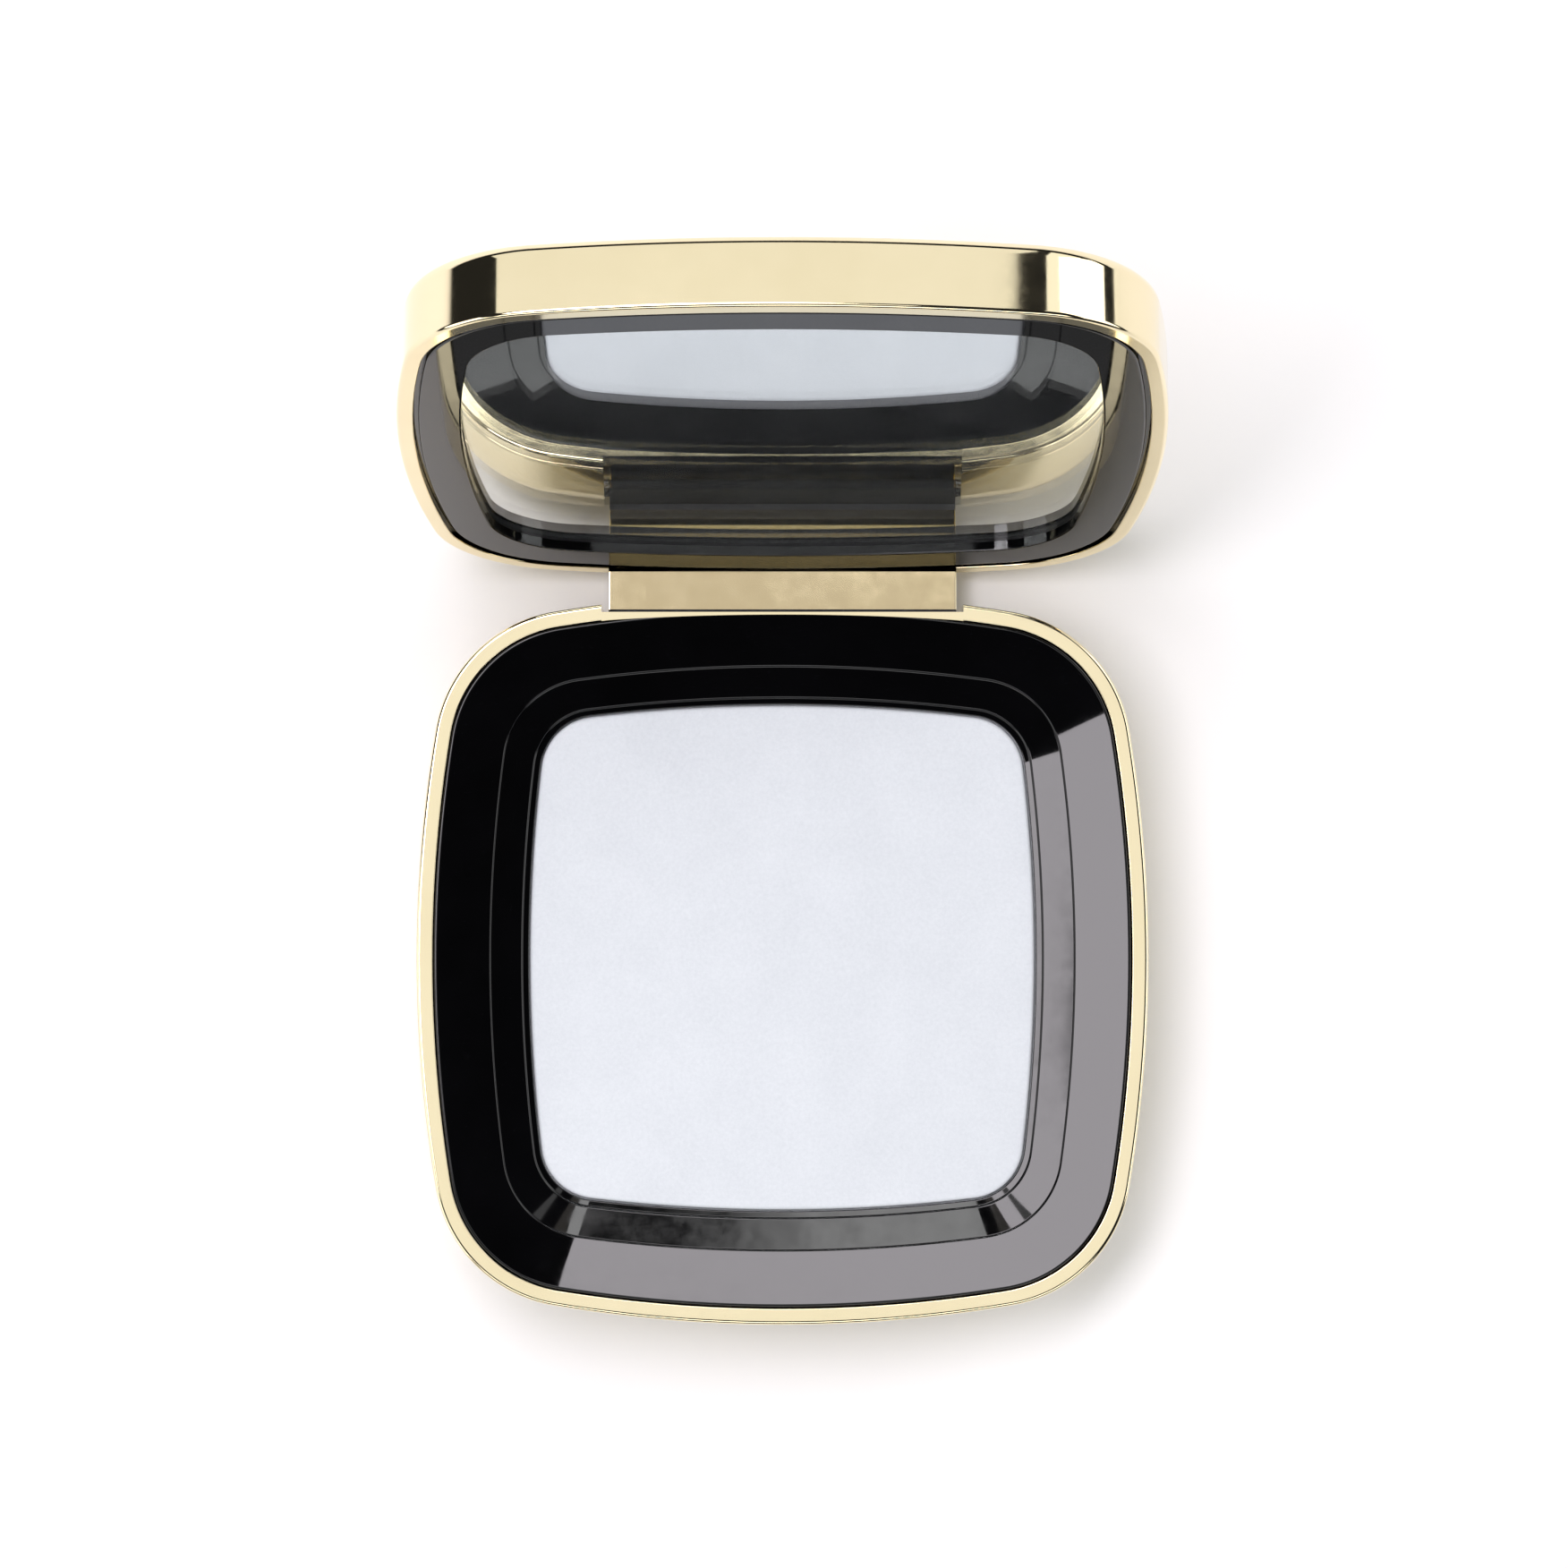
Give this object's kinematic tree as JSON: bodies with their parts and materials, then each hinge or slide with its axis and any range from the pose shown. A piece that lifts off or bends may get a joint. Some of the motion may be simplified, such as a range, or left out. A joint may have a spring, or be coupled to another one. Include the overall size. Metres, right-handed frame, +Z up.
{
  "type": "powder compact",
  "caption": "Gold clamshell powder compact, bowed square outline, open on a rear hinge, with a lid mirror, a stepped black bezel and pressed powder.",
  "frame": {"origin": "centre of the flat underside of the base", "axes": "+Z up out of the powder's face, +Y to the rear towards the hinge, +X to the right; the lid stands open at rest"},
  "size_m": [0.07, 0.0987, 0.0687],
  "materials": {
    "gold_case": "bright gold anodised, polished",
    "black_gloss": "high gloss black",
    "black_inner": "moulded black",
    "pan_metal": "bright pressed pan",
    "powder": "matt pressed powder with a fine shimmer",
    "mirror_glass": "silvered glass",
    "glue": "hot-melt adhesive",
    "pin_steel": "drawn wire",
    "magnet_nickel": "nickel plate",
    "label_paper": "blank matt label"
  },
  "bodies": {
    "base": {"base_shell": "gold_case", "pan_carrier": "black_inner", "base_bezel": "black_gloss", "powder_pan": "pan_metal", "pressed_powder": "powder", "pan_adhesive": "glue", "hinge_bracket": "black_inner", "hinge_pin": "pin_steel", "base_magnets": "magnet_nickel", "base_label": "label_paper"},
    "lid": {"lid_shell": "gold_case", "lid_frame": "black_gloss", "mirror": "mirror_glass", "mirror_adhesive": "glue", "lid_plate": "black_inner", "lid_magnets": "magnet_nickel", "hinge_knuckle": "black_inner", "hinge_tongue": "gold_case"}
  },
  "joints": [
    {"name": "lid_hinge", "type": "hinge", "parent": "base", "child": "lid", "pos_m": [0, 0.0322, 0.00625], "axis": [1, 0, 0], "range_deg": [0, 107.2]}
  ]
}
